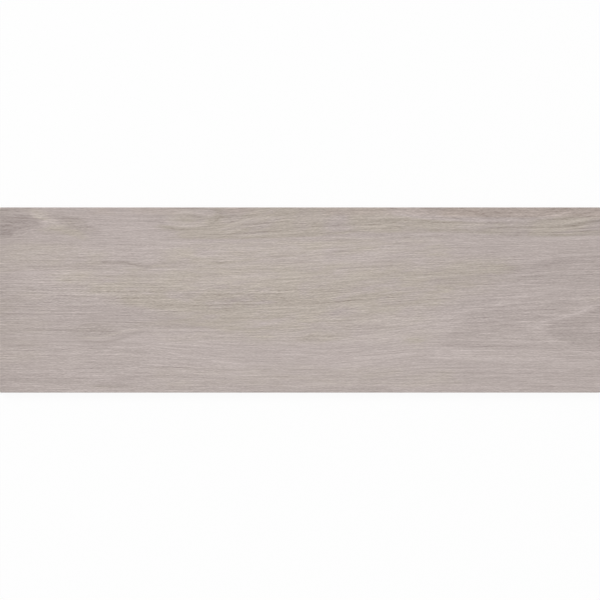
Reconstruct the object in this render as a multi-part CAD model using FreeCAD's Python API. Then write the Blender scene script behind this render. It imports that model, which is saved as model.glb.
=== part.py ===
import FreeCAD, Part
import math
import os

# Wood-look porcelain floor plank, pressed and fired in one piece, so it is one solid.
# Units are millimetres. X runs along the plank, Y across it and Z up.
# The plank lies face up. The origin is at the middle of its back, on the plane that the back ribs rest on.
# The grain relief of the face is a few tenths of a millimetre deep and isn't in this model.

# Outline of the face
face_length = 600.0
face_width = 185.0
thickness = 9.0
corner_radius = 1.2
arris_radius = 0.8

# Sides: an upright band under the face, then a flank that leans in towards the back, as the press die leaves it
flank_height = 3.2
flank_setback = 1.3
heel_radius = 0.5

# Back: square pockets between raised ribs, which key the plank into its adhesive
margin_width = 8.0
rib_width = 2.4
pocket_pitch = 14.5
pocket_depth = 0.8
pocket_draft = 45.0
# How far each pocket's tool starts outside the back, so that it cuts its mouth cleanly
mouth_overcut = 0.2


def outline(inset, height):
    """The plank's outline, moved in by inset, as a closed wire with rounded corners at this height."""
    x = face_length / 2 - inset
    y = face_width / 2 - inset
    r = corner_radius
    middle = r * (1 - math.sqrt(0.5))

    def point(px, py):
        return FreeCAD.Vector(px, py, height)

    edges = [
        Part.LineSegment(point(-x + r, -y), point(x - r, -y)),
        Part.Arc(point(x - r, -y), point(x - middle, -y + middle), point(x, -y + r)),
        Part.LineSegment(point(x, -y + r), point(x, y - r)),
        Part.Arc(point(x, y - r), point(x - middle, y - middle), point(x - r, y)),
        Part.LineSegment(point(x - r, y), point(-x + r, y)),
        Part.Arc(point(-x + r, y), point(-x + middle, y - middle), point(-x, y - r)),
        Part.LineSegment(point(-x, y - r), point(-x, -y + r)),
        Part.Arc(point(-x, -y + r), point(-x + middle, -y + middle), point(-x + r, -y)),
    ]
    return Part.Wire([edge.toShape() for edge in edges])


def edges_at(shape, height):
    """The edges of a shape that lie flat at this height."""
    return [edge for edge in shape.Edges if all(abs(v.Z - height) < 1e-6 for v in edge.Vertexes)]


def pressed_blank():
    """The plank without its back pattern: flank, upright band and the rounded edges of face and back."""
    flank = Part.makeLoft([outline(flank_setback, 0.0), outline(0.0, flank_height)], True, True)
    upright = FreeCAD.Vector(0, 0, thickness - flank_height)
    band = Part.Face(outline(0.0, flank_height)).extrude(upright)
    blank = band.fuse(flank).removeSplitter()
    blank = blank.makeFillet(arris_radius, edges_at(blank, thickness))
    return blank.makeFillet(heel_radius, edges_at(blank, 0.0))


def pocket(half_x, half_y):
    """One pocket about the Z axis, widest at the back's plane, with its walls leaning in by the draft."""
    lean = math.tan(math.radians(pocket_draft))
    mouth_x = half_x + mouth_overcut * lean
    mouth_y = half_y + mouth_overcut * lean
    floor_x = half_x - pocket_depth * lean
    floor_y = half_y - pocket_depth * lean
    # The wedge tapers along Y, so it is made that way and then stood up along Z.
    solid = Part.makeWedge(-mouth_x, -mouth_overcut, -mouth_y, -floor_y, -floor_x,
                           mouth_x, pocket_depth, mouth_y, floor_y, floor_x)
    solid.rotate(FreeCAD.Vector(0, 0, 0), FreeCAD.Vector(1, 0, 0), 90)
    return solid


def pocket_places(back_size):
    """Pitch and centres of the pockets in one direction. They fill the back between its plain margins."""
    field = back_size - 2 * margin_width
    count = max(1, round((field + rib_width) / pocket_pitch))
    pitch = (field + rib_width) / count
    return pitch, [(i - (count - 1) / 2) * pitch for i in range(count)]


def back_pockets():
    """The material that the press die leaves out between the ribs."""
    pitch_x, centres_x = pocket_places(face_length - 2 * flank_setback)
    pitch_y, centres_y = pocket_places(face_width - 2 * flank_setback)
    first = pocket((pitch_x - rib_width) / 2, (pitch_y - rib_width) / 2)
    copies = []
    for x in centres_x:
        for y in centres_y:
            copy = first.copy()
            copy.translate(FreeCAD.Vector(x, y, 0))
            copies.append(copy)
    return copies


def plank_tile():
    return pressed_blank().cut(back_pockets())


os.makedirs("parts", exist_ok=True)
tile = plank_tile()
tile.exportStep("parts/plank_tile.step")
print("plank_tile valid", tile.isValid(), "solids", len(tile.Solids), "faces", len(tile.Faces),
      "volume cm3", round(tile.Volume / 1000, 1), "box", tile.BoundBox)
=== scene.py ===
import math
import bpy
import numpy as np
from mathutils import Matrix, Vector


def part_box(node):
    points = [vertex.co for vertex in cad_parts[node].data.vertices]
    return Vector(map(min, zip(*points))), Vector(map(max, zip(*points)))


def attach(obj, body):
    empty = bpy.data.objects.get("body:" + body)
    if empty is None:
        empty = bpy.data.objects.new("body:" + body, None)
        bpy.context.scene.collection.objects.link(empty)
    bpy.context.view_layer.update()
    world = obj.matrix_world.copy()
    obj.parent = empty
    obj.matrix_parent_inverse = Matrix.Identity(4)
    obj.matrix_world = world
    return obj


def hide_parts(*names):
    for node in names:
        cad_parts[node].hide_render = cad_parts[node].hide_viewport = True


# Looks of a wood-look porcelain floor plank: printed and textured face, bare fired sides and ribbed back.
# Sizes are millimetres, and the studio's are metres where nothing else is said. The plank lies along X with
# its face up.

mm = 0.001

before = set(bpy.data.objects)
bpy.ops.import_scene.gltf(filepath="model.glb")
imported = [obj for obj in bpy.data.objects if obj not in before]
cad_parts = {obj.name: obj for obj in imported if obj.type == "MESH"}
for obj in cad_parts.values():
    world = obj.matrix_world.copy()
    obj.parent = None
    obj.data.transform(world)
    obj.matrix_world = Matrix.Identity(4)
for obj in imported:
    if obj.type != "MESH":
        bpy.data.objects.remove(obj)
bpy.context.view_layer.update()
low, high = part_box("plank_tile")
length = (high[0] - low[0]) / mm
width = (high[1] - low[1]) / mm
thickness = (high[2] - low[2]) / mm

# Edges of the pressed blank
corner_radius = 1.2
arris_radius = 0.8
flank_height = 3.2
flank_setback = 1.3
heel_radius = 0.5

# Back pattern
margin_width = 8.0
rib_width = 2.4
pocket_pitch = 14.5
pocket_depth = 0.8

# Mesh: cells of the face along and across the grain, and steps of the rounded edges
cell_along = 2.7
cell_across = 0.6
corner_steps = 3
arris_steps = 4
heel_steps = 3

# Edges that turn by more than this many degrees stay sharp
sharp_angle = 32.0

# Deepest cut of the grain relief, and the plain border over which it fades out
relief_depth = 0.22
relief_border = 2.5

# Share of the deepest cut: on average, and what broad swells and narrow grooves add or take
mean_cut = 0.42
swell_cut = 0.16
groove_cut = 0.26


# Smooth noise and curves

# Random values along a side of the noise's table, spread of the noise, and shift from layer to layer
noise_cells = 256
noise_spread = 0.4
layer_shift = 37.7


def smooth_step(t):
    return t * t * t * (t * (t * 6.0 - 15.0) + 10.0)


def smooth_noise(x, y, seed):
    """Seeded smooth noise between -1 and 1, with features about one unit across."""
    table = np.random.default_rng(seed).uniform(-1.0, 1.0, (noise_cells, noise_cells))
    column = np.floor(x).astype(int)
    row = np.floor(y).astype(int)
    along = smooth_step(x - column)
    up = smooth_step(y - row)
    left = column % noise_cells
    right = (column + 1) % noise_cells
    near = row % noise_cells
    far = (row + 1) % noise_cells
    lower = table[near, left] * (1.0 - along) + table[near, right] * along
    upper = table[far, left] * (1.0 - along) + table[far, right] * along
    return lower * (1.0 - up) + upper * up


def layered_noise(x, y, long, wide, layers, seed, gain=0.7):
    """Noise whose features are long by wide mm, with finer layers on top, at a spread of about 1."""
    total = np.zeros_like(x)
    spread = 0.0
    strength = 1.0
    for layer in range(layers):
        finer = 2.0 ** layer
        shift = layer_shift * layer
        total += strength * smooth_noise(x * finer / long + shift, y * finer / wide + shift, seed + layer)
        spread += (noise_spread * strength) ** 2
        strength *= gain
    return total / math.sqrt(spread)


def path(points, x):
    """Height at x of a smooth curve through points that run from left to right."""
    px, py = np.array(points, float).T
    slope = np.gradient(py, px)
    x = np.clip(x, px[0], px[-1])
    k = np.clip(np.searchsorted(px, x, side="right") - 1, 0, len(px) - 2)
    run = px[k + 1] - px[k]
    t = (x - px[k]) / run
    from_left = (2 * t**3 - 3 * t**2 + 1) * py[k] + (t**3 - 2 * t**2 + t) * run * slope[k]
    from_right = (3 * t**2 - 2 * t**3) * py[k + 1] + (t**3 - t**2) * run * slope[k + 1]
    return from_left + from_right


def fade(value, soft):
    """0 below zero and 1 above soft, with a smooth step between."""
    t = np.clip(value / soft, 0.0, 1.0)
    return t * t * (3.0 - 2.0 * t)


# The wood figure, drawn in millimetres from the left end and from a line just inside the upper long edge.
# Shade is in steps of an 8-bit grey level. Olive and warm run from 0, no tint, to 1, the full tint.

figure_top = 0.6

# Lines that the grain follows, from the upper edge down, each with its place across the grain
grain_guides = [
    (-8, [(0, -8), (170, -7), (230, -11), (275, -20), (600, -75)]),
    (11, [(0, 11), (150, 11), (210, 10), (240, 5), (256, 0), (275, -8), (600, -60)]),
    (20, [(0, 20), (165, 20.5), (205, 21.5), (235, 17), (256, 10.5), (275, 3), (300, -6), (600, -45)]),
    (27, [(0, 27), (165, 27), (210, 27.5), (240, 24), (262, 18), (290, 9), (312, 0), (340, -8),
         (600, -36)]),
    (31, [(0, 31), (170, 30.5), (210, 30.5), (250, 28), (269, 24.5), (292, 19.5), (319, 12), (338, 4),
         (360, -2), (600, -26)]),
    (34.5, [(0, 33), (180, 32), (250, 30), (308, 24), (346, 17.5), (385, 13), (423, 12.5), (473, 13.5),
         (525, 11.5), (555, 6), (577, -1), (600, -9)]),
    (38, [(0, 35), (180, 34), (270, 31), (346, 24), (400, 20.5), (480, 19.5), (540, 19), (577, 17),
         (600, 11)]),
    (45.5, [(0, 42), (240, 38.5), (350, 33), (430, 28.5), (500, 28), (569, 26.5), (600, 22)]),
    (56, [(0, 59), (50, 57.5), (105, 55.5), (140, 56.5), (192, 54.8), (238, 53.5), (269, 49.5), (300, 47),
         (338, 42), (385, 38), (430, 35), (500, 33), (560, 31.5), (600, 29)]),
    (65, [(0, 66), (200, 64.5), (250, 61.5), (292, 57.7), (327, 53.5), (385, 46), (423, 42), (500, 39),
         (600, 35)]),
    (78, [(0, 80), (200, 79.5), (260, 77), (320, 68), (365, 60), (404, 55), (461, 50), (538, 45),
         (600, 41)]),
    (91, [(0, 95.5), (200, 96), (250, 94.5), (292, 91), (335, 83), (365, 76), (404, 70), (461, 64),
         (538, 56), (600, 49)]),
    (107, [(0, 108), (150, 110), (200, 113), (231, 112), (269, 109), (308, 103.5), (346, 96), (385, 88),
         (423, 82.5), (480, 79.5), (538, 76), (600, 70)]),
    (119, [(0, 121), (154, 121.5), (200, 121), (246, 122), (292, 120), (327, 115), (361, 109.5),
         (385, 105), (423, 97), (480, 90), (538, 84), (600, 78)]),
    (127, [(0, 128), (100, 129), (150, 127), (200, 128), (250, 131), (300, 132), (345, 129), (385, 122),
         (423, 112), (461, 105), (496, 98), (538, 91), (600, 85)]),
    (140, [(0, 134), (130, 133), (185, 138), (231, 143), (308, 146), (346, 143), (385, 136), (423, 127),
         (461, 122), (500, 120), (540, 119), (600, 116)]),
    (153, [(0, 140), (150, 139), (185, 147), (208, 151), (231, 154.5), (269, 155.5), (308, 157.5),
         (346, 156), (385, 148.5), (423, 142), (500, 141), (600, 142)]),
    (195, [(0, 190), (600, 190)]),
]

# Places that the grain lines part round: centre, reach along the grain, half height, and share of
# the spacing taken
grain_eyes = [
    (-6, 17, 46, 15, 0.5),  # left knot
    (78, 17, 22, 9, 0.35),  # second knot
    (188, 10, 34, 9, 0.55),  # eye
    (98, 123, 28, 9, 0.45),  # lens
    (318, 130, 22, 8, 0.35),  # spot
    (476, 110, 18, 7, 0.35),  # loop
]

# How closely the fine fibres follow the grain lines
fibre_follow = 0.4

# Broad belts: upper edge, lower edge, softness, shade, olive
belts = [
    # Pale fields in the middle and along the foot
    ([(-20, 38), (100, 33), (300, 32), (392, 40)], [(-20, 76), (150, 76), (330, 76), (392, 66)], 8, 3, 0),
    ([(80, 40), (190, 43), (250, 40), (330, 48), (410, 42)],
     [(80, 50), (150, 52), (200, 49), (250, 45), (330, 54), (410, 49)], 4, 0.4, 0),
    ([(60, 140), (110, 138), (145, 126), (230, 119), (300, 109), (360, 108), (400, 98), (450, 97)],
     [(60, 160), (110, 166), (190, 176), (250, 160), (330, 159), (380, 176), (440, 180), (470, 160)], 8,
      3.4, 0),
    ([(200, 170), (370, 169)], [(200, 180), (370, 180)], 4, 3, 0),
    ([(430, 141), (530, 141), (600, 141)], [(430, 151), (530, 152), (600, 147.5)], 4, 5.6, 0),
    # Grey fields at the two ends
    ([(424, 66), (480, 61), (530, 54), (560, 49), (600, 46)],
     [(424, 78), (500, 80), (560, 78), (600, 84)], 7, -4.6, 0),
    ([(540, 84), (600, 80)], [(540, 102), (600, 92)], 8, -1.6, 0),
    ([(-20, 84), (80, 86), (150, 96)], [(-20, 128), (60, 120), (150, 112)], 6, -1.6, 0),
    # Dark olive bands in the middle
    ([(120, 88), (200, 86), (270, 82), (330, 80), (372, 88)],
     [(120, 99), (235, 100), (300, 96), (350, 95), (372, 96)], 4, -3.6, 0.3),
    ([(366, 90), (400, 85), (442, 82)], [(366, 97), (400, 98), (442, 95)], 3, -3, 0.3),
    ([(130, 113), (185, 111), (240, 105), (290, 106)],
     [(130, 118), (185, 119), (240, 113), (290, 111)], 3, -2.4, 0.3),
    # Nested arches at the right, from the outermost to their heart
    ([(340, 126), (362, 122), (412, 110), (440, 104), (465, 101)],
     [(340, 135), (400, 137), (430, 127), (456, 121), (468, 106)], 3, 2, 0),
    ([(456, 99), (490, 95), (510, 89), (540, 82)],
     [(456, 108), (474, 103), (500, 99), (540, 88)], 4, 3.4, 0),
    ([(462, 110), (476, 104), (500, 101), (530, 100), (570, 97), (600, 90)],
     [(462, 118), (505, 119), (524, 113), (556, 106.5), (600, 93)], 3, -2.8, 0),
    ([(404, 131), (440, 129), (460, 121), (530, 120), (545, 136), (600, 139)],
     [(404, 138), (440, 138.5), (500, 128), (520, 126), (545, 140), (600, 142)], 3, -2.6, 0),
    ([(440, 134), (500, 135.5), (600, 138.5)], [(440, 139), (500, 140), (600, 142)], 2, -3.2, 0),
    ([(514, 126), (528, 117), (546, 114)], [(514, 128), (532, 130), (546, 131)], 3, 2.4, 0),
    ([(524, 117), (545, 111.5), (571, 104), (582, 97), (600, 84)],
     [(524, 120), (545, 117), (571, 109), (591, 101), (600, 97)], 2, 4.8, 0),
    ([(536, 122), (549, 130), (566, 134)], [(536, 130), (549, 134), (566, 137)], 2, 3.6, 0),
    ([(543, 117.5), (571, 109), (591, 100.5), (600, 96.5)],
     [(543, 119.5), (550, 129), (558, 132), (570, 136), (600, 138)], 1.5, -8, 0),
    # Dark strip along the upper edge, the surroundings of the eye, and the brown strip
    ([(212, -6), (396, -8)], [(212, 31), (250, 31), (300, 28.5), (350, 26), (396, 25)], 3, -3.4, 0.62),
    ([(150, 14), (168, 17.5), (188, 20), (212, 19), (222, 14)],
     [(150, 17), (168, 24), (190, 31), (212, 31), (222, 31)], 2.5, -3.8, 0.6),
    ([(158, 8), (180, -4), (222, -4)], [(158, 13), (180, 20), (222, 20)], 4, -1, 0.25),
    ([(205, 17), (213, 7), (216, -6), (226, -6)],
     [(205, 20), (215, 17), (222, 12), (226, 2)], 1.5, -6, 0.3),
    ([(384, 4), (430, 11), (480, 14), (600, 4)],
     [(384, 25), (430, 25), (510, 28), (600, 28.5)], 3, -3.2, 0.6),
    ([(480, 10), (600, 5)], [(480, 22), (600, 28)], 5, -3.2, 0),
    ([(-20, -8), (110, -8)], [(-20, 7), (110, 6)], 4, -2.2, 0),
    ([(160, -8), (325, -8)], [(160, 6), (325, 6)], 4, -2.4, 0),
    ([(412, -8), (600, -8)],
     [(412, 3), (440, 6.5), (490, 8), (545, 8.5), (562, 4.5), (580, -2)], 1.5, -12.5, 0),
    ([(556, 6), (580, -1), (600, -6)], [(556, 8), (580, 6), (600, 3)], 1.5, -8, 0),
    # Knots at the upper left and the cream streak between them
    ([(-20, 6), (6, 7.5), (20, 6.5), (32, 7), (38, 9.5), (46, 14)],
     [(-20, 31), (8, 29), (15, 26), (20, 20.5), (34, 19), (46, 15)], 2, -14, 0),
    ([(-20, -6), (34, -6)], [(-20, 6.5), (8, 6), (20, 3.5), (34, 1)], 2, -10.5, 0.1),
    ([(24, 0), (34, 0), (44, 2.5), (52, 7), (60, 12)],
     [(24, 4), (34, 8.5), (42, 14), (50, 16), (60, 17)], 3, 4.5, 0.4),
    ([(46, 12), (62, 16), (74, 21), (90, 29)], [(46, 21), (62, 24), (74, 30), (90, 34)], 3, -1.5, 0.5),
    ([(32, 2), (40, 4), (47, 7.5), (55, 12)], [(32, 6), (38, 10.5), (46, 14.5), (55, 16)], 3, 3, 0.3),
    ([(52, 3), (62, 7), (74, 8.5), (86, 13), (96, 18)],
     [(52, 9), (62, 15), (72, 21.5), (86, 22.5), (96, 22)], 2.5, -9.5, 0.1),
    ([(76, 20), (90, 19), (104, 22)], [(76, 27), (90, 27), (104, 25)], 3, -4.5, 0.1),
    ([(40, 22), (60, 21), (76, 23)], [(40, 27), (60, 27), (76, 27)], 3, -2, 0.3),
    # Band of the wavy line
    ([(70, 55), (100, 53), (128, 53.5), (150, 55.5), (186, 53.5)],
     [(70, 58.5), (100, 57), (128, 58), (150, 60.5), (186, 57)], 2, -5.5, 0.15),
    # Tones of the foot and the left end
    ([(10, 162), (40, 163), (70, 170)], [(10, 172), (40, 173), (70, 175)], 4, -2.5, 0),
    ([(90, 175), (140, 174)], [(90, 181), (140, 178)], 2, -4, 0.1),
    ([(440, 148), (600, 150)], [(440, 190), (600, 190)], 8, 2.2, 0),
    ([(440, 156), (600, 156)], [(440, 166), (600, 168)], 6, -1.6, 0),
    ([(-20, 12), (60, 24), (110, 26)], [(-20, 47), (60, 44), (110, 40)], 6, -3.4, 0),
    ([(70, 140), (110, 139), (150, 142)], [(70, 158), (120, 160), (165, 154)], 6, -3.2, 0),
    # Olive tint alone
    ([(50, 68), (130, 60), (230, 56), (330, 56), (430, 54), (520, 52)],
     [(50, 78), (130, 95), (180, 107), (225, 120), (290, 120), (360, 107), (430, 98), (520, 64)], 18, 0,
      0.7),
    ([(150, 112), (290, 112), (440, 106)], [(150, 134), (290, 136), (440, 134)], 10, 0, 0.22),
    ([(-20, 78), (50, 84)], [(-20, 156), (50, 150)], 12, 0, 0.16),
    ([(160, 40), (280, 33), (450, 30)], [(160, 56), (280, 50), (450, 50)], 10, 0, 0.5),
    ([(-20, 36), (50, 36), (110, 44)], [(-20, 70), (50, 60), (110, 60)], 12, 0, 0.3),
    ([(150, 158), (460, 160)], [(150, 178), (460, 178)], 10, 0, 0.24),
]

# Single grain lines: points, half width, shade, olive
grain_lines = [
    # Wavy line and the pale lines over it
    ([(98, 54.5), (122, 54.3), (132, 56), (142, 58.3), (156, 57.8)], 1.1, -17, 0.2),
    ([(150, 57), (165, 55), (186, 54.6), (200, 54.6)], 0.9, -12, 0.2),
    ([(-10, 59.3), (40, 58.8), (90, 58)], 0.9, -9, 0.1),
    ([(206, 56), (228, 54.5), (246, 52), (270, 49.5), (296, 47.5)], 1.1, -11, 0.3),
    ([(188, 51.5), (204, 51), (222, 51.5)], 0.9, -8, 0),
    ([(296, 49.5), (320, 47), (348, 42.5), (384, 38.5)], 1.1, -7, 0.1),
    ([(348, 50), (368, 47), (392, 43.5)], 1.8, 5, 0),
    ([(308, 53), (332, 51.5)], 1.4, 6, 0),
    ([(140, 49.5), (170, 49), (186, 48)], 1.2, 4, 0),
    # Strip along the upper edge
    ([(166, 29.5), (196, 30.3), (243, 30.3), (280, 29), (310, 26.5)], 0.9, -9, 0.3),
    ([(296, 29), (320, 26.3), (345, 23.8), (378, 20.8), (410, 19.6)], 0.9, -10, 0.3),
    ([(236, 23.5), (262, 23), (292, 22)], 1.5, -5.5, 0.3),
    ([(228, 7.5), (262, 7.5), (286, 6), (308, 3)], 1, -8, 0.2),
    ([(216, 9.5), (226, 9), (236, 9.5)], 1.6, -9, 0.3),
    ([(248, 17), (270, 14.5), (290, 12.5), (306, 7)], 0.9, -5, 0.2),
    ([(240, 27), (262, 26.6), (300, 24)], 0.8, 5, 0.1),
    ([(236, 12.5), (258, 11), (286, 9)], 1, 5, 0.1),
    # Eye and its rings
    ([(172, 6.8), (185, 7), (197, 8.6), (208, 10.5)], 0.8, -3, 0),
    ([(168, 7), (176, 4.4), (190, 4), (204, 6)], 1.5, 6, 0),
    ([(184, 0), (208, 0.5)], 1.6, -9, 0),
    ([(156, 15.5), (165, 18.8), (172, 20.3), (180, 22.5)], 1.4, -14, 0.5),
    ([(172, 21.4), (188, 21.2), (200, 19.6), (210, 17), (217, 12.5), (221, 5), (223, -4)], 1.1, -13, 0.4),
    ([(172, 17), (184, 18), (196, 17), (206, 14.8), (213, 11.5), (217, 6)], 1.5, 5, 0.1),
    ([(186, 26), (206, 25), (224, 21.5), (242, 15), (262, 12.5)], 0.9, 5, -0.1),
    # Lines that rise from under the eye
    ([(196, 30), (210, 27.5), (224, 23), (234, 19.5), (246, 15.5)], 0.9, -9, 0.1),
    ([(204, 30.5), (222, 27.8), (232, 23.5), (244, 19.5), (262, 17)], 0.8, 6, -0.2),
    ([(216, 30.5), (232, 26), (246, 22.5), (262, 21)], 0.9, -7, 0.2),
    ([(222, 17.5), (234, 13.5), (246, 9.5), (258, 7.5)], 0.9, -8, 0),
    ([(196, 25.5), (212, 22.8), (222, 19.5), (234, 15.5), (248, 11)], 0.8, 7, 0),
    ([(186, 25), (204, 24.5), (216, 21), (228, 16)], 0.8, -8, 0.2),
    # Fanning lines at the upper right
    ([(300, 20.5), (330, 17.3), (352, 15.5), (385, 12.5), (400, 12.3)], 1.1, -5, 0.2),
    ([(388, 12.8), (410, 13), (440, 14.5), (484, 14)], 1.8, -9.5, 0.3),
    ([(376, 7.5), (404, 6.5), (436, 8), (452, 10), (470, 11.5)], 3, 1.5, -0.3),
    ([(462, 11), (482, 12), (512, 11.5), (535, 10.6), (550, 9), (560, 6.8), (570, 4), (577, -1)], 1.5,
         3.5, -0.2),
    ([(550, 9), (560, 6.8), (570, 4), (577, -1)], 1.4, 6, -0.3),
    ([(470, 8), (490, 8.5), (516, 8.5)], 0.8, -9, 0.3),
    ([(488, 4.6), (520, 5), (548, 5.6)], 1.8, -5, 0),
    ([(352, 19.5), (385, 17.5), (440, 17.5), (476, 16.5)], 1, 5.5, 0.3),
    ([(466, 18), (486, 18.3), (500, 17.2), (545, 16.4), (558, 15.6), (568, 14.3), (576, 12.8),
         (584, 11.2), (600, 8.5), (610, 8)], 1.3, 9, 0.4),
    ([(484, 14.5), (512, 15), (540, 13.8), (560, 11.5), (574, 8.5), (586, 5.5), (600, 2.5)], 1.1, -9, 0),
    ([(400, 20.5), (440, 22), (478, 21.3), (500, 19.8), (545, 19.3), (566, 18.6), (584, 18.3)], 1, -10,
         0.2),
    ([(526, 19.8), (550, 19.3), (570, 18.5), (586, 18.3)], 1.1, -13, 0.2),
    ([(570, 16.7), (576, 16.2), (582, 15.4), (588, 14.3), (600, 12.4), (610, 11)], 1.5, -27, 0.2),
    ([(588, 14.4), (600, 12.7), (610, 11.6)], 1, -9, 0.2),
    ([(574, 13), (584, 11), (592, 9.4), (610, 8)], 1.6, 5, 0.4),
    ([(572, 21.6), (580, 20.8), (590, 19.8), (600, 18.6), (610, 17.6)], 0.8, -15, 0.1),
    ([(478, 24), (505, 24.6), (530, 24), (560, 23.5), (575, 22.8), (588, 22), (610, 20.6)], 0.8, -7, 0.1),
    ([(544, 27.2), (566, 27), (584, 26.9), (610, 26.5)], 1, -13, 0.1),
    ([(570, 25.2), (590, 24.8), (610, 24)], 0.8, -8, 0.1),
    ([(536, 21.6), (556, 21.4), (572, 20), (580, 18.5), (590, 17.3), (600, 16), (610, 15)], 0.8, 7, 0.3),
    ([(556, 22.3), (576, 22), (588, 21.3), (600, 20.2), (610, 19.5)], 0.8, 9, 0.4),
    ([(572, 24.1), (590, 23.6), (610, 22.6)], 0.8, 6, 0.4),
    ([(566, 9), (578, 6.8), (590, 4.4), (610, 1.6)], 0.9, -9, 0.1),
    ([(504, 28), (526, 27)], 0.9, -9, 0.1),
    ([(548, 30.5), (574, 29.8), (610, 29.5)], 1.2, 7, 0),
    # Short streaks under them
    ([(418, 34.5), (440, 33.8)], 1, -7, 0.1),
    ([(390, 35.5), (410, 34.8)], 0.9, -6, 0.1),
    ([(464, 35.5), (496, 35)], 1, 6, 0),
    # Right end, above the arches
    ([(524, 59), (545, 57.5), (566, 52.5), (584, 50.5), (610, 47)], 1.6, -6.5, 0),
    ([(506, 62.5), (528, 61.5)], 1, -3.5, 0),
    ([(428, 72), (456, 69.5), (480, 67), (502, 64)], 1.4, -5, 0),
    ([(500, 71), (530, 67), (560, 62.5), (610, 58)], 0.9, 4, 0),
    ([(478, 80.5), (520, 80), (568, 79)], 0.8, 6, 0),
    ([(436, 104), (461, 103), (496, 96.5), (512, 90), (538, 84), (560, 80)], 1.1, 5, 0),
    ([(506, 93.5), (520, 92)], 1.4, -6, 0),
    # Olive field
    ([(150, 97.5), (180, 97), (232, 96.5), (262, 95.7)], 1.1, -9, 0.3),
    ([(250, 92), (296, 90.5)], 0.9, -8, 0.2),
    ([(126, 89.5), (168, 88.5)], 0.8, -7, 0.2),
    ([(222, 98.5), (282, 97.2)], 0.8, 6, 0.1),
    ([(196, 85.5), (234, 84.5)], 0.8, 6, 0.1),
    ([(72, 96.3), (110, 95.3), (152, 95)], 0.8, 7, 0.2),
    ([(352, 69.5), (378, 69)], 0.9, 6, 0.2),
    ([(308, 100), (340, 94), (366, 88), (398, 81), (430, 76)], 1, -5, 0.2),
    ([(330, 90), (356, 84), (384, 77), (404, 73.5)], 0.9, 4.5, 0.3),
    # Left end
    ([(-10, 99.5), (46, 99)], 0.9, -8, 0),
    ([(-10, 107), (64, 105)], 0.8, -6, 0),
    ([(24, 78.3), (46, 78)], 0.9, 7, 0),
    # Lens at the left
    ([(40, 121), (80, 120.6), (92, 119.5)], 0.8, -7, 0),
    ([(72, 117.5), (92, 115.5), (112, 115)], 1.1, -7, 0.1),
    ([(74, 129), (98, 129.3), (112, 126.5), (126, 122.5), (146, 121)], 1.1, 13, 0.3),
    ([(74, 131.5), (84, 132.6), (104, 133.3), (118, 131.5), (130, 126.5), (146, 123)], 1.2, -10.5, 0.1),
    ([(148, 121.5), (190, 121), (232, 121)], 0.9, 9, 0.2),
    # Basin right of the lens
    ([(146, 136.5), (158, 136), (176, 134.5)], 1.6, 6.5, 0),
    ([(164, 141), (176, 146.5), (190, 148), (206, 150.5), (222, 154), (244, 156)], 1.2, 5.5, 0),
    ([(212, 148.5), (232, 147.2), (254, 146)], 1.1, 6, 0),
    ([(256, 155), (290, 157.5), (330, 158), (352, 156)], 1, 6, 0),
    ([(352, 151), (376, 149.3), (396, 148.3), (410, 143)], 1.4, 6, 0),
    ([(254, 129), (284, 129)], 1, 5, 0.5),
    # Arches at the right
    ([(346, 117.5), (366, 113.5), (384, 110.5), (404, 106)], 1.1, 6, 0),
    ([(374, 102), (396, 100.5), (412, 98.5), (428, 98.5)], 1.2, 6, 0),
    ([(424, 116.5), (446, 115), (466, 112)], 2.4, 5.5, 0),
    ([(404, 124.5), (424, 123), (446, 122.5)], 1.2, 6.5, 0.1),
    ([(468, 122.5), (498, 123.5), (526, 122.5)], 1, -7, 0),
    ([(462, 128), (486, 126)], 1.4, -5, 0),
    ([(466, 138), (500, 138.3), (530, 138)], 0.9, -7, 0),
    ([(488, 131), (516, 132), (540, 134)], 1.2, 5, 0),
    ([(406, 139.3), (428, 139.3)], 0.8, 7, 0.5),
    ([(526, 118.5), (545, 113.5), (560, 110.5), (576, 105), (592, 98.5)], 1.4, 6, -0.1),
    ([(566, 103), (576, 99.5), (586, 92)], 2.6, 2, 0),
    ([(562, 133), (580, 135), (610, 136)], 1.6, -4, 0),
    ([(590, 104), (610, 103)], 2.2, -7, 0),
    # Foot and lower left
    ([(480, 170.5), (516, 170)], 0.9, -8, 0),
    ([(586, 163.8), (610, 163.5)], 1.1, -9, 0),
    ([(392, 172), (410, 171.8)], 1.1, -6, 0),
    ([(92, 178.5), (122, 178)], 1.1, -10, 0.1),
    ([(104, 162.5), (128, 160.5), (150, 159.5)], 0.9, 5, 0),
    ([(224, 166), (244, 163.5), (266, 161.5)], 1.1, 6, 0),
    ([(300, 177), (330, 175.8), (352, 175.5)], 1, 5, 0),
    ([(16, 138), (44, 137.5)], 1.1, -6, 0),
]

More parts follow.
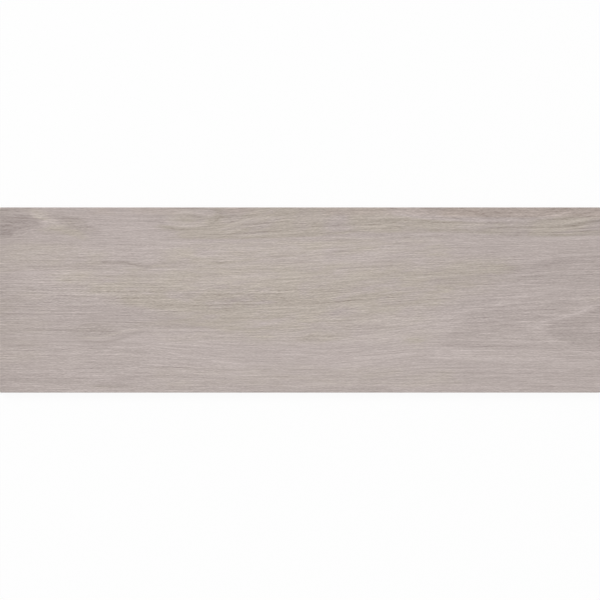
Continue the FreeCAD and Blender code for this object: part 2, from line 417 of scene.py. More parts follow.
# Round patches and rings: centre, half length, half height, tilt, pairs of radius and shade, olive.
# After the last pair the shade fades out to patch_rim.
patch_rim = (1.2, 0)
patches = [
    # Knots
    (22, 12, 17, 4.5, 0, [(0, -8), (0.7, -6)], 0),
    (0, 12, 14, 4.5, 0, [(0, -5), (0.7, -4)], 0),
    (-2, 21, 16, 7, 0, [(0, -3.5), (0.7, -3)], 0),
    (70, 16.5, 5, 5, 0.5, [(0, -6), (0.7, -4)], 0.2),
    # Eye and lens
    (190, 10, 32, 10.5, -0.06, [(0, 1), (0.3, 2), (0.55, 6), (0.8, 4), (1, -3)], 0),
    (191, 10.3, 19, 3.8, 0, [(0, -9), (0.8, -8), (1.15, 0)], 0.4),
    (98, 122, 26, 7, 0, [(0, -4), (0.8, -4)], 0.15),
    (99, 122.5, 19, 2, 0, [(0, -5), (0.7, -4)], 0.1),
    # Single spots
    (6, 134, 16, 3.5, 0, [(0, -7), (0.6, -6)], 0),
    (318, 129.5, 20, 6, 0, [(0, -2), (0.7, -2)], 0.4),
    (303, 150, 11, 2, 0, [(0, -6), (0.6, -5)], 0),
    (417, 133, 9, 3.5, 0, [(0, -1)], 0.8),
    # Middle, and arches at the right
    (502, 110, 13, 4, 0, [(0, -1.5), (0.6, -1)], 0),
    (556, 123.5, 8, 3, 0, [(0, -4), (0.6, -3)], 0),
    (597, 117.5, 9, 5, 0, [(0, 9), (0.6, 8)], 0),
    (384, 129.5, 26, 5, 0, [(0, 3.5), (0.6, 3)], 0),
    (352, 104, 46, 13, -0.16, [(0, 2), (0.6, 1.6)], 0.1),
    (468, 145, 15, 2.6, 0, [(0, 5), (0.6, 4)], 0),
    # Ends and broad places
    (-6, 100, 28, 38, 0, [(0, -6.5), (0.6, -5.5)], 0),
    (-6, 54, 30, 30, 0, [(0, -5), (0.6, -4)], 0),
    (-6, 168, 24, 24, 0, [(0, -6.5), (0.6, -5)], 0),
    (58, 144, 28, 14, 0, [(0, 2.2), (0.7, 1.8)], 0),
    (598, 90.5, 9, 3, 0, [(0, -8), (0.6, -6)], 0.2),
    (574, 88, 12, 3.5, 0, [(0, 2.5), (0.6, 2)], 0),
    (128, 16, 32, 15, 0, [(0, 1.8), (0.7, 1.2)], -0.4),
    (152, 8, 8, 8, 0, [(0, -3), (0.6, -2)], 0.1),
    (60, 68, 24, 5, 0, [(0, 1.5), (0.6, 1.2)], 0),
]

# Where the fine streaks are stronger or weaker: upper edge, lower edge, softness, change
streak_zones = [
    ([(30, 74), (360, 80)], [(30, 104), (360, 108)], 16, 0.28),  # olive field
    ([(96, -8), (166, -8)], [(96, 28), (166, 24)], 10, -0.22),  # right of the knots
    ([(160, 4), (216, 5)], [(160, 15), (216, 15)], 5, -0.35),  # eye
    ([(220, 130), (420, 124), (620, 146)], [(220, 176), (620, 190)], 14, -0.14),  # lower right
    ([(540, 96), (620, 96)], [(540, 140), (620, 140)], 10, -0.12),  # arches at the right
]

# Warm tint along the upper edge: first and last place, depth, strength
warm_strips = [
    (94, 114, 7, 0.5),
    (126, 184, 6, 0.4),
    (222, 262, 6, 0.5),
    (318, 480, 7, 0.5),
    (440, 640, 9, 0.8),
]

# How far the drawn outlines wander: raggedly along and across the grain, and in slow waves
ragged_along = 3.0
ragged_across = 0.3
ragged_lines = 0.15
slow_wave = 0.4

# How softly belts, lines and warm strips end, and a warm strip's lower edge. A belt adds its own softness.
belt_end = 10.0
line_end = 12.0
warm_end = 14.0
warm_soft = 4.0

# Strength of the single lines, and how much it changes along them
line_strength = 0.9
line_change = 0.2

# Olive of the plain ground, and how strongly clouds change the shade and the olive
ground_olive = 0.06
shade_clouds = 0.7
olive_clouds = 0.32


def figure_place(x, y):
    """Place of a point in the wood figure, from the plank's left end and down from the figure's top."""
    return x + length / 2, width / 2 - y - figure_top


def across_grain(x, y):
    """How far across the grain a point lies, the same all along a grain line, and across its fine fibres.

    Where the grain fans out, the fibres follow it only in part, so that they keep their width.
    """
    levels = [level for level, points in grain_guides]
    heights = [path(points, x) for level, points in grain_guides]
    across = np.full_like(x, levels[0])
    for k in range(len(grain_guides) - 1):
        share = np.clip((y - heights[k]) / (heights[k + 1] - heights[k]), 0.0, 1.0)
        across += share * (levels[k + 1] - levels[k])
    parting = np.zeros_like(x)
    for centre_x, centre_y, reach, half, spacing in grain_eyes:
        off = (y - centre_y) / half
        parting += spacing * half * off * np.exp(-off ** 2 - ((x - centre_x) / reach) ** 2)
    fibre = y + fibre_follow * (across - y)
    return across - parting, fibre - parting


def end_fade(x, first, last, soft):
    """1 between two ends, fading out near each end that lies on the plank."""
    strength = fade(x - first + soft / 4, soft)
    if last < round(length):
        strength = strength * fade(last - x + soft / 4, soft)
    return strength


def belt_cover(x, y, upper, lower, soft):
    """1 between the two edges of a belt, with soft rims and ends."""
    inside = fade(y - path(upper, x) + soft / 2, soft) * fade(path(lower, x) - y + soft / 2, soft)
    return inside * end_fade(x, upper[0][0], upper[-1][0], belt_end + soft)


def wood_figure(x, y):
    """Shade, olive and warm tint of the figure without its fine streaks, and how strong those are."""
    across, fibre = across_grain(x, y)
    ragged = layered_noise(x, fibre, long=24.0, wide=1.8, layers=3, seed=100)
    wave = layered_noise(x, y, long=60.0, wide=12.0, layers=2, seed=200)
    xs = x + ragged_along * ragged
    ys = y + ragged_across * ragged + slow_wave * wave
    shade = np.zeros_like(x)
    olive = np.full_like(x, ground_olive)
    for upper, lower, soft, level, tint in belts:
        inside = belt_cover(xs, ys, upper, lower, soft)
        shade += level * inside
        olive += tint * inside
    for points, half, level, tint in grain_lines:
        near = np.exp(-((y + ragged_lines * ragged - path(points, x)) / half) ** 2)
        near *= end_fade(xs, points[0][0], points[-1][0], line_end) * (line_strength + line_change * ragged)
        shade += level * near
        olive += tint * near
    for centre_x, centre_y, half_x, half_y, tilt, rings, tint in patches:
        dx = xs - centre_x
        dy = ys - centre_y - tilt * dx
        radius = np.hypot(dx / half_x, dy / half_y)
        shade += np.interp(radius, *zip(*rings, patch_rim), right=0.0)
        olive += tint * np.exp(-radius ** 3)
    shade += shade_clouds * layered_noise(x, across, long=190.0, wide=11.0, layers=2, seed=300)
    olive *= 1.0 + olive_clouds * layered_noise(x, across, long=26.0, wide=7.0, layers=3, seed=400)
    warm = np.zeros_like(x)
    for first, last, depth, strength in warm_strips:
        warm += strength * end_fade(xs, first, last, warm_end) * fade(depth - ys + warm_soft / 2, warm_soft)
    crisp = np.ones_like(x)
    for upper, lower, soft, change in streak_zones:
        crisp += change * belt_cover(xs, ys, upper, lower, soft)
    return shade, olive, warm, crisp


def grain_cut(x, fibre):
    """Depth of the grain relief, from 0 on its ridges to 1 in its deepest grooves."""
    swell = layered_noise(x, fibre, long=150.0, wide=9.0, layers=2, seed=500)
    groove = layered_noise(x, fibre, long=60.0, wide=2.6, layers=2, seed=510)
    return np.clip(mean_cut + swell_cut * swell + groove_cut * groove, 0.0, 1.0)


# The plank's mesh

class Shell:
    """Points and faces of one closed mesh, with a texture place for every corner of every face."""

    def __init__(self):
        self.points = []
        self.count = 0
        self.faces = []
        self.places = []

    def add_points(self, points):
        """Adds rows of x, y, z and gives the numbers of the new points."""
        points = np.asarray(points, float).reshape(-1, 3)
        first = self.count
        self.points.append(points)
        self.count += len(points)
        return np.arange(first, self.count)

    def plan(self, corners):
        """Where points lie in plan."""
        return np.concatenate(self.points)[corners, :2]

    def add_faces(self, corners, places):
        """Adds faces that all have as many corners, and where each corner lies on the texture."""
        self.faces.append(np.asarray(corners, int))
        self.places.append(np.asarray(places, float))


def profile_centre(z):
    """How far the centres of the plan corners lie inside the outline at this height."""
    return corner_radius + flank_setback * max(0.0, 1.0 - z / flank_height)


def side_profile():
    """Inset and height of the side, from the rim of the face round the arris and down to the back."""
    rows = []
    for step in range(arris_steps + 1):
        turn = math.radians(90.0 * step / arris_steps)
        inset = arris_radius * (1.0 - math.sin(turn))
        rows.append((inset, thickness - arris_radius * (1.0 - math.cos(turn))))
    rows.append((0.0, flank_height))
    lean = math.atan2(flank_setback, flank_height)
    heel_run = heel_radius / math.tan((math.pi / 2 + lean) / 2)
    heel_inset = flank_setback + heel_run
    for step in range(heel_steps + 1):
        turn = lean + (math.pi / 2 - lean) * step / heel_steps
        rows.append((heel_inset - heel_radius * math.cos(turn), heel_radius * (1.0 - math.sin(turn))))
    return rows


def stations(columns, rows):
    """Places round the border of the face's grid, counter-clockwise from the front left, as four arrays.

    They hold the share of each half size, the outward normal, the grid point's number, and the side.
    """
    last_column = columns - 1
    last_row = rows - 1
    sides = [
        ([(i, 0) for i in range(columns)], -90.0),
        ([(last_column, j) for j in range(rows)], 0.0),
        ([(i, last_row) for i in range(last_column, -1, -1)], 90.0),
        ([(0, j) for j in range(last_row, -1, -1)], 180.0),
    ]
    found = []
    for side, (cells, angle) in enumerate(sides):
        turns = [angle] * len(cells)
        for step in range(1, corner_steps):
            cells.append(cells[-1])
            turns.append(angle + 90.0 * step / corner_steps)
        for (i, j), turn in zip(cells, turns):
            share = (2.0 * i / last_column - 1.0, 2.0 * j / last_row - 1.0)
            normal = (math.cos(math.radians(turn)), math.sin(math.radians(turn)))
            found.append((share, normal, j * columns + i, side))
    return [np.array(values) for values in zip(*found)]


# Texture: the face takes the upper part, below it come the four sides and the back, with gaps between
texture_gap = 0.006
back_top = 0.17
side_rows = (0.184, 0.202, 0.220, 0.238)
side_row_height = 0.013
face_bottom = 0.262


def texture_place(plan, reach, bottom, top):
    """Where points of the plan lie in the texture, between bottom and top, if the plan reaches so far."""
    share = 0.5 + 0.5 * plan / reach
    low_end = np.array([texture_gap, bottom])
    high_end = np.array([1.0 - texture_gap, top])
    return low_end + share * (high_end - low_end)


def build_shell():
    shell = Shell()
    half = np.array([length / 2, width / 2])

    # Face
    inner = half - corner_radius
    columns, rows = np.round(2 * inner / [cell_along, cell_across]).astype(int) + 1
    grid_x, grid_y = np.meshgrid(np.linspace(-1, 1, columns), np.linspace(-1, 1, rows))
    grid_x *= inner[0]
    grid_y *= inner[1]
    border = np.minimum(half[0] - np.abs(grid_x), half[1] - np.abs(grid_y)) - corner_radius
    from_left, from_top = figure_place(grid_x, grid_y)
    cut = grain_cut(from_left, across_grain(from_left, from_top)[1]) * fade(border, relief_border)
    grid = shell.add_points(np.stack([grid_x, grid_y, thickness - relief_depth * cut], 2))
    grid = grid.reshape(rows, columns)

    rim = corner_radius - arris_radius
    reach = inner + rim + arris_radius * math.pi / 2

    def face_place(plan):
        """Places on the face's part of the texture, where the rim and the arris are folded out."""
        return texture_place(plan, reach, face_bottom, 1.0 - texture_gap)

    corners = np.stack([grid[:-1, :-1], grid[:-1, 1:], grid[1:, 1:], grid[1:, :-1]], 2).reshape(-1, 4)
    shell.add_faces(corners, face_place(shell.plan(corners)))

    # Rings of points round the arris, upright band, flank and heel, and how far down the side each is
    shares, normals, border_points, sides = stations(columns, rows)
    following = np.roll(np.arange(len(sides)), -1)
    profile = side_profile()
    rings = []
    for inset, z in profile:
        centre = profile_centre(z)
        plan = shares * (half - centre) + normals * (centre - inset)
        rings.append(shell.add_points(np.column_stack([plan, np.full(len(plan), z)])))
    run = [rim]
    for (inset_a, z_a), (inset_b, z_b) in zip(profile[:-1], profile[1:]):
        run.append(run[-1] + math.hypot(inset_b - inset_a, z_b - z_a))
    run = np.array(run)

    def ring_quads(upper, lower, members=slice(None)):
        """Faces between two rings of points, all the way round or at some members."""
        after = following[members]
        return np.column_stack([upper[members], lower[members], lower[after], upper[after]])

    # Rim and arris, on the face's part of the texture
    inner_plan = shares * inner

    def folded_out(upper_run, lower_run):
        """Texture places of the faces between two rings."""
        upper = inner_plan + normals * upper_run
        lower = inner_plan + normals * lower_run
        return face_place(np.stack([upper, lower, lower[following], upper[following]], 1))

    straight = border_points != border_points[following]
    quads = ring_quads(border_points, rings[0])
    places = folded_out(0.0, rim)
    shell.add_faces(quads[straight], places[straight])
    shell.add_faces(quads[~straight][:, :3], places[~straight][:, :3])
    for k in range(arris_steps):
        shell.add_faces(ring_quads(rings[k], rings[k + 1]), folded_out(run[k], run[k + 1]))

    # Sides, one strip of the texture for each, with the corner that follows it
    outline = inner_plan + normals * corner_radius
    steps = np.hypot(*(outline[following] - outline).T)
    scale = (1.0 - 2 * texture_gap) / (length + corner_radius * math.pi / 2)
    down = (run - run[arris_steps]) / (run[-1] - run[arris_steps])
    for side, row in enumerate(side_rows):
        members = np.flatnonzero(sides == side)
        along = np.concatenate([[0.0], np.cumsum(steps[members])])
        u = texture_gap + along * scale
        v = row + side_row_height * (1.0 - down)
        corners_u = np.column_stack([u[:-1], u[:-1], u[1:], u[1:]])
        for k in range(arris_steps, len(profile) - 1):
            corners_v = np.broadcast_to([v[k], v[k + 1], v[k + 1], v[k]], corners_u.shape)
            quads = ring_quads(rings[k], rings[k + 1], members)
            shell.add_faces(quads, np.stack([corners_u, corners_v], 2))

    add_back(shell, rings[-1], sides, normals)
    return shell


def pocket_lines(back_size):
    """Pocket mouths in one direction, as pairs of low and high edge between the plain margins."""
    field = back_size - 2 * margin_width
    count = max(1, round((field + rib_width) / pocket_pitch))
    pitch = (field + rib_width) / count
    half = (pitch - rib_width) / 2
    lines = []
    for i in range(count):
        centre = (i - (count - 1) / 2) * pitch
        lines += [centre - half, centre + half]
    return np.array(lines)


def add_back(shell, heel, sides, normals):
    """The back: ribs and margin in the plane z = 0, and drafted pockets between the ribs."""
    lines_x = pocket_lines(length - 2 * flank_setback)
    lines_y = pocket_lines(width - 2 * flank_setback)
    mesh_x, mesh_y = np.meshgrid(lines_x, lines_y)
    lattice = shell.add_points(np.stack([mesh_x, mesh_y, np.zeros_like(mesh_x)], 2)).reshape(mesh_x.shape)

    def add(corners):
        """Faces that look down, given counter-clockwise from above."""
        corners = np.asarray(corners, int)[:, ::-1]
        reach = np.array([length / 2, width / 2])
        shell.add_faces(corners, texture_place(shell.plan(corners), reach, texture_gap, back_top))

    ribs = []
    for j in range(len(lines_y) - 1):
        for i in range(len(lines_x) - 1):
            mouth = [lattice[j, i], lattice[j, i + 1], lattice[j + 1, i + 1], lattice[j + 1, i]]
            if i % 2 or j % 2:
                ribs.append(mouth)
                continue
            left = lines_x[i] + pocket_depth
            right = lines_x[i + 1] - pocket_depth
            near = lines_y[j] + pocket_depth
            far = lines_y[j + 1] - pocket_depth
            floor = shell.add_points([(x, y, pocket_depth) for x, y in
                                      ((left, near), (right, near), (right, far), (left, far))])
            ribs.append(list(floor))
            for k in range(4):
                after = (k + 1) % 4
                ribs.append([mouth[k], mouth[after], floor[after], floor[k]])
    add(ribs)

    # The margin joins the heel's many points to the lattice's few, one side at a time
    borders = [lattice[0, :], lattice[:, -1], lattice[-1, ::-1], lattice[::-1, 0]]
    triangles = []
    for side, inner in enumerate(borders):
        members = np.flatnonzero(sides == side)
        straight = members[np.isclose(np.abs(normals[members]).max(1), 1.0)]
        axis = side % 2
        direction = 1.0 if side < 2 else -1.0
        outer = heel[straight]
        outer_at = direction * shell.plan(outer)[:, axis]
        inner_at = direction * shell.plan(inner)[:, axis]
        i = 0
        j = 0
        while i < len(outer) - 1 or j < len(inner) - 1:
            if j == len(inner) - 1 or (i < len(outer) - 1 and outer_at[i + 1] < inner_at[j + 1]):
                triangles.append([outer[i], outer[i + 1], inner[j]])
                i += 1
            else:
                triangles.append([outer[i], inner[j + 1], inner[j]])
                j += 1
        arc = [heel[k % len(heel)] for k in range(straight[-1], members[-1] + 2)]
        for a, b in zip(arc[:-1], arc[1:]):
            triangles.append([a, b, inner[-1]])
    add(triangles)


def make_piece(shell):
    """Turns the shell into an object in metres, with its texture places and the figure's values."""
    points = np.concatenate(shell.points)
    corners = np.concatenate([faces.ravel() for faces in shell.faces])
    sizes = np.concatenate([np.full(len(faces), faces.shape[1]) for faces in shell.faces])
    places = np.concatenate([place.reshape(-1, 2) for place in shell.places])

    mesh = bpy.data.meshes.new("fired_plank")
    mesh.vertices.add(len(points))
    mesh.vertices.foreach_set("co", (points * mm).ravel())
    mesh.loops.add(len(corners))
    mesh.loops.foreach_set("vertex_index", corners)
    mesh.polygons.add(len(sizes))
    mesh.polygons.foreach_set("loop_start", np.concatenate([[0], np.cumsum(sizes)[:-1]]))
    mesh.polygons.foreach_set("loop_total", sizes)
    mesh.update(calc_edges=True)
    layer = mesh.uv_layers.new(name="OFBake")
    layer.data.foreach_set("uv", places.ravel())

    from_left, from_top = figure_place(points[:, 0], points[:, 1])
    fibre = across_grain(from_left, from_top)[1]
    shade, olive, warm, crisp = wood_figure(from_left, from_top)
    cut = grain_cut(from_left, fibre)
    figure = {"fibre": fibre, "shade": shade, "olive": olive, "warm": warm, "crisp": crisp, "cut": cut}
    for name, values in figure.items():
        attribute = mesh.attributes.new(name, "FLOAT", "POINT")
        attribute.data.foreach_set("value", values.astype(np.float32))

    mesh.validate()
    mesh.set_sharp_from_angle(angle=math.radians(sharp_angle))
    piece = bpy.data.objects.new("fired_plank", mesh)
    bpy.context.scene.collection.objects.link(piece)
    return piece


# Materials

def srgb(red, green, blue):
    """An 8-bit screen colour as a linear shader colour."""
    linear = []
    for level in (red, green, blue):
        c = level / 255.0
        linear.append(c / 12.92 if c <= 0.04045 else ((c + 0.055) / 1.055) ** 2.4)
    return (*linear, 1.0)


class Shader:
    """Short calls for building the nodes of one material or of the world."""

    def __init__(self, owner):
        owner.use_nodes = True
        self.tree = owner.node_tree
        self.tree.nodes.clear()

    def add(self, kind, fed, output=0, **settings):
        """Adds a node, feeds its inputs by name or number, and gives one of its outputs if it has any."""
        node = self.tree.nodes.new(kind)
        for name, value in settings.items():
            setattr(node, name, value)
        for name, value in fed.items():
            if isinstance(value, bpy.types.NodeSocket):
                self.tree.links.new(value, node.inputs[name])
            else:
                node.inputs[name].default_value = value
        return node.outputs[output] if node.outputs else None

    def math(self, operation, *values, clamp=False):
        return self.add("ShaderNodeMath", dict(enumerate(values)), operation=operation, use_clamp=clamp)

    def plus(self, total, part, strength, clamp=False):
        """The total with a part added at some strength."""
        return self.math("MULTIPLY_ADD", part, strength, total, clamp=clamp)

    def stretched(self, x, y, long, wide, layer):
        """Place in a layer of noise whose features are long by wide mm. Other layers have other noise."""
        return self.vector(self.math("DIVIDE", x, long), self.math("DIVIDE", y, wide), layer)

    def vector(self, *values):
        return self.add("ShaderNodeCombineXYZ", dict(enumerate(values)))

    def value(self, name):
        """One of the figure's values, stored on the mesh."""
        return self.add("ShaderNodeAttribute", {}, "Fac", attribute_name=name)

    def noise(self, vector, scale=1.0, detail=0.0, roughness=0.5):
        """Noise centred on 0, from about -0.5 to 0.5."""
        fed = {"Vector": vector, "Scale": scale, "Detail": detail, "Roughness": roughness}
        return self.math("SUBTRACT", self.add("ShaderNodeTexNoise", fed, "Fac"), 0.5)

    def spots(self, vector, heart, rim):
        """1 in the heart of spots scattered one per unit, and 0 outside their rim."""
        distance = self.add("ShaderNodeTexVoronoi", {"Vector": vector, "Scale": 1.0}, "Distance")
        return self.math("SUBTRACT", 1.0, self.step(distance, heart, rim))

    def ramp(self, value, colours):
        """Three screen colours at 0, 0.5 and 1, with even steps between."""
        colour = self.add("ShaderNodeValToRGB", {"Fac": value}, "Color")
        elements = colour.node.color_ramp.elements
        elements.new(0.5)
        for element, position, levels in zip(elements, (0.0, 0.5, 1.0), colours):
            element.position = position
            element.color = srgb(*levels)
        return colour

    def step(self, value, low_end, high_end):
        """0 below low_end and 1 above high_end, smooth between."""
        fed = {"Value": value, "From Min": low_end, "From Max": high_end}
        return self.add("ShaderNodeMapRange", fed, "Result", interpolation_type="SMOOTHSTEP")

    def mix(self, share, first, second):
        """first where share is 0 and second where it is 1, for colours."""
        return self.add("ShaderNodeMix", {0: share, 6: first, 7: second}, 2, data_type="RGBA")

    def blend(self, share, first, second):
        """first where share is 0 and second where it is 1, for numbers."""
        return self.add("ShaderNodeMix", {0: share, 2: first, 3: second}, data_type="FLOAT")


# Print colours of the face at its darkest, middle and lightest, and the grey levels between them
mauve_print = [(143, 131, 127), (183, 171, 167), (223, 211, 207)]
olive_print = [(144, 133, 123), (184, 173, 163), (224, 213, 203)]
warm_print = [(145, 131, 123), (185, 171, 163), (225, 211, 203)]
print_span = 40.0

# Grey levels that the print gains from the ridges of the relief to its deepest cut
cut_shade = -4.0

# Fine streaks: layer of noise, length, width, strength in grey levels
streak_layers = [
    (3.3, 60.0, 2.6, 6.0),
    (10.4, 70.0, 0.45, 16.0),
    (17.5, 24.0, 0.38, 27.5),
    (24.6, 9.0, 0.36, 26.0),
    (31.7, 2.8, 0.36, 34.0),
]

# Long hairlines: layer, length, width, noise at which they start, strength in grey levels
hairlines = [
    (61.3, 110.0, 0.75, 0.13, -7.5),
    (67.0, 90.0, 0.70, 0.14, 5.5),
]
hairline_soft = 0.10

# Pores: spacing along and across the fibres, layer, heart and rim in shares of it, grey levels, height
pore_spacing = (13.0, 1.3, 0.4)
pore_size = (0.10, 0.24)
pore_shade = -9.0
pore_height = -0.6

# Each streak has a faint rim of the other tone beside it, as in a print from a sharpened scan of wood
rim_offset = 1.0
rim_share = 0.27

# Bare body: its colours, the scales of its clouds and grit, the spacing and size of its specks, and what
# each adds to its tone
body_colours = [(162, 152, 142), (190, 181, 171), (208, 201, 192)]
cloud_scale = 0.06
cloud_tone = 0.7
grit_scale = 1.7
grit_tone = 0.35
speck_spacing = 2.4
speck_size = (0.08, 0.17)
speck_tone = -0.35

# Pale wash low on the sides and on the back: length, width and layer of its clouds, and its upper end
wash_colour = srgb(214, 210, 203)
wash_clouds = (60.0, 6.0, 1.7)
wash_rise = -0.9
wash_ends = (-0.22, 0.10)
wash_strength = 0.55

# Depths below the face at which glaze, pale underlayer and wear of the print are full and have ended, and
# how unevenly: the edge's length, width and layer, and its height
glaze_ends = (0.85, 1.05)
underlayer_ends = (1.2, 1.45)
wear_ends = (0.35, 0.02)
edge_waves = (3.0, 3.0, 2.2)
edge_height = 0.9
underlayer_colour = srgb(222, 218, 210)
underlayer_strength = 0.7
wear_colour = srgb(205, 197, 190)
wear_strength = 0.12

# Roughness, with what streaks, pores and grit add to it, and bump of the finest grain
glaze_roughness = 0.58
streak_roughness = 0.10
pore_roughness = 0.12
body_roughness = 0.82
grit_roughness = 0.15
bump_strength = 0.5
bump_depth = 0.06


def place_in_mm(shader):
    """Place on the plank in millimetres, as three sockets."""
    where = shader.add("ShaderNodeTexCoord", {}, "Object")
    apart = shader.add("ShaderNodeSeparateXYZ", {0: where}).node
    return [shader.math("MULTIPLY", socket, 1.0 / mm) for socket in apart.outputs]


def fine_streaks(shader, x, fibre):
    """Streaks, hairlines and pores in grey levels, and the streaks' height and the pores on their own."""
    streaks = 0.0
    height = 0.0
    for layer, long, wide, strength in streak_layers:
        streak = shader.noise(shader.stretched(x, fibre, long, wide, layer))
        streaks = shader.plus(streaks, streak, strength)
        height = shader.math("ADD", streak, height)
    for layer, long, wide, start, strength in hairlines:
        line = shader.noise(shader.stretched(x, fibre, long, wide, layer))
        streaks = shader.plus(streaks, shader.step(line, start, start + hairline_soft), strength)
    pore = shader.spots(shader.stretched(x, fibre, *pore_spacing), *pore_size)
    return shader.plus(streaks, pore, pore_shade), height, pore


def printed_face(shader, x, fibre):
    """Colour, roughness and height of the printed and glazed wood face."""
    streaks, height, pore = fine_streaks(shader, x, fibre)
    streaks = shader.math("MULTIPLY", streaks, 1.0 + rim_share)
    for offset in (-rim_offset, rim_offset):
        beside = fine_streaks(shader, x, shader.math("ADD", fibre, offset))[0]
        streaks = shader.plus(streaks, beside, -rim_share / 2)
    levels = shader.plus(shader.value("shade"), streaks, shader.value("crisp"))
    groove = shader.math("SUBTRACT", shader.value("cut"), mean_cut)
    levels = shader.plus(levels, groove, cut_shade)
    tone = shader.plus(0.5, levels, 0.5 / print_span, clamp=True)
    colour = shader.ramp(tone, mauve_print)
    for name, print_colours in (("olive", olive_print), ("warm", warm_print)):
        tint = shader.math("ADD", shader.value(name), 0.0, clamp=True)
        colour = shader.mix(tint, colour, shader.ramp(tone, print_colours))
    roughness = shader.plus(glaze_roughness, height, streak_roughness)
    roughness = shader.plus(roughness, pore, pore_roughness)
    return colour, roughness, shader.plus(height, pore, pore_height)


def fired_body(shader, x, y, z):
    """Colour, roughness and height of the bare porcelain body on the sides and back."""
    spot = shader.vector(x, y, z)
    cloud = shader.noise(spot, scale=cloud_scale, detail=3.0)
    grit = shader.noise(spot, scale=grit_scale, detail=2.0, roughness=0.6)
    speck_place = shader.vector(*[shader.math("DIVIDE", socket, speck_spacing) for socket in (x, y, z)])
    tone = shader.plus(shader.plus(0.5, cloud, cloud_tone), grit, grit_tone)
    tone = shader.plus(tone, shader.spots(speck_place, *speck_size), speck_tone, clamp=True)
    wash = shader.noise(shader.stretched(x, y, *wash_clouds), detail=4.0)
    wash = shader.step(shader.math("ADD", wash, shader.math("MULTIPLY", z, wash_rise)), *wash_ends)
    wash = shader.math("MULTIPLY", wash, wash_strength)
    colour = shader.mix(wash, shader.ramp(tone, body_colours), wash_colour)
    return colour, shader.plus(body_roughness, grit, grit_roughness), grit


def plank_material():
    """The glaze wraps over the arris and ends in an uneven line on the side, over a pale underlayer."""
    material = bpy.data.materials.new("glazed_porcelain")
    shader = Shader(material)
    x, y, z = place_in_mm(shader)
    face_colour, face_rough, face_height = printed_face(shader, x, shader.value("fibre"))
    body_colour, body_rough, body_height = fired_body(shader, x, y, z)
    edge = shader.noise(shader.stretched(x, y, *edge_waves), detail=3.0)
    lip = shader.plus(z, edge, edge_height)

    def by_depth(full, ended):
        """1 at the first of two depths below the face and 0 at the second, with a smooth step between."""
        return shader.step(lip, thickness - ended, thickness - full)

    pale = shader.math("MULTIPLY", by_depth(*underlayer_ends), underlayer_strength)
    body_colour = shader.mix(pale, body_colour, underlayer_colour)
    worn = shader.math("MULTIPLY", by_depth(*wear_ends), wear_strength)
    face_colour = shader.mix(worn, face_colour, wear_colour)

    glaze = by_depth(*glaze_ends)
    height = shader.blend(glaze, body_height, face_height)
    fed = {"Strength": bump_strength, "Distance": bump_depth * mm, "Height": height}
    normal = shader.add("ShaderNodeBump", fed)
    roughness = shader.blend(glaze, body_rough, face_rough)
    colour = shader.mix(glaze, body_colour, face_colour)
    fed = {"Base Color": colour, "Roughness": roughness, "Normal": normal}
    shader.add("ShaderNodeOutputMaterial", {"Surface": shader.add("ShaderNodeBsdfPrincipled", fed)})
    return material


# Studio. Near the plank a share of the floor is plain white to the camera, and the rest shows the shadow.
# From the far end of the fade on, in metres from the plank's middle, all of it is plain white.
floor_size = 60.0
floor_colour = (0.95, 0.95, 0.95, 1.0)
floor_white = 0.92
floor_fade = (0.5, 1.6)
sky_colour = (1.0, 1.0, 1.0, 1.0)
sky_light = 0.535

# Millimetres: how far the floor lies under the plank, and the width of the face that the camera sees
floor_drop = 0.05
seen_width = 599.2


def seen_directly(shader):
    """1 for camera, glossy and transmission rays, which see the white background."""
    rays = shader.add("ShaderNodeLightPath", {}).node.outputs
    seen = shader.math("MAXIMUM", rays["Is Camera Ray"], rays["Is Glossy Ray"])
    return shader.math("MAXIMUM", seen, rays["Is Transmission Ray"])


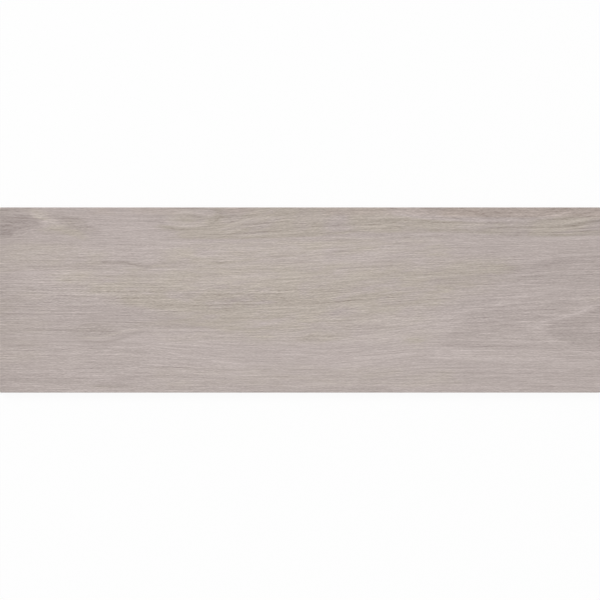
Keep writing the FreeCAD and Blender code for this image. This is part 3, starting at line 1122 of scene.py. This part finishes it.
def make_floor():
    material = bpy.data.materials.new("white_floor")
    shader = Shader(material)
    matte = shader.add("ShaderNodeBsdfDiffuse", {"Color": floor_colour})
    white = shader.add("ShaderNodeEmission", {})
    where = shader.add("ShaderNodeTexCoord", {}, "Object")
    away = shader.add("ShaderNodeVectorMath", {0: where}, "Value", operation="LENGTH")
    share = shader.blend(shader.step(away, *floor_fade), floor_white, 1.0)
    share = shader.math("MULTIPLY", seen_directly(shader), share)
    both = shader.add("ShaderNodeMixShader", {0: share, 1: matte, 2: white})
    shader.add("ShaderNodeOutputMaterial", {"Surface": both})

    half = floor_size / 2
    corners = [(-half, -half), (half, -half), (half, half), (-half, half)]
    mesh = bpy.data.meshes.new("studio_floor")
    mesh.from_pydata([(x, y, -floor_drop * mm) for x, y in corners], [], [(0, 1, 2, 3)])
    mesh.materials.append(material)
    floor = bpy.data.objects.new("studio_floor", mesh)
    bpy.context.scene.collection.objects.link(floor)


def make_sky():
    world = bpy.data.worlds.new("studio_sky")
    bpy.context.scene.world = world
    shader = Shader(world)
    strength = shader.blend(seen_directly(shader), sky_light, 1.0)
    sky = shader.add("ShaderNodeBackground", {"Color": sky_colour, "Strength": strength})
    shader.add("ShaderNodeOutputWorld", {"Surface": sky})


def make_lamp(name, place, size, power):
    """A round softbox that looks at the plank."""
    data = bpy.data.lights.new(name, "AREA")
    data.shape = "DISK"
    data.size = size
    data.energy = power
    lamp = bpy.data.objects.new(name, data)
    lamp.location = place
    lamp.rotation_euler = lamp.location.to_track_quat("Z", "Y").to_euler()
    bpy.context.scene.collection.objects.link(lamp)


def make_camera():
    """Looks straight down from far off, so that the face fills the picture's width."""
    data = bpy.data.cameras.new("photo_camera")
    data.lens = 300.0
    data.sensor_width = 36.0
    data.clip_end = 200.0
    distance = seen_width * mm * data.lens / data.sensor_width
    camera = bpy.data.objects.new("photo_camera", data)
    camera.location = (0.0, 0.0, thickness * mm + distance)
    bpy.context.scene.collection.objects.link(camera)
    bpy.context.scene.camera = camera


make_camera()
make_floor()
make_sky()
make_lamp("key_softbox", place=(-3.2, 3.8, 4.8), size=3.2, power=204.0)
make_lamp("fill_softbox", place=(4.4, -2.4, 5.2), size=4.0, power=69.5)
bpy.context.scene.view_settings.view_transform = "Standard"

plank = make_piece(build_shell())
plank.data.materials.append(plank_material())
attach(plank, "root")
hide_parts("plank_tile")
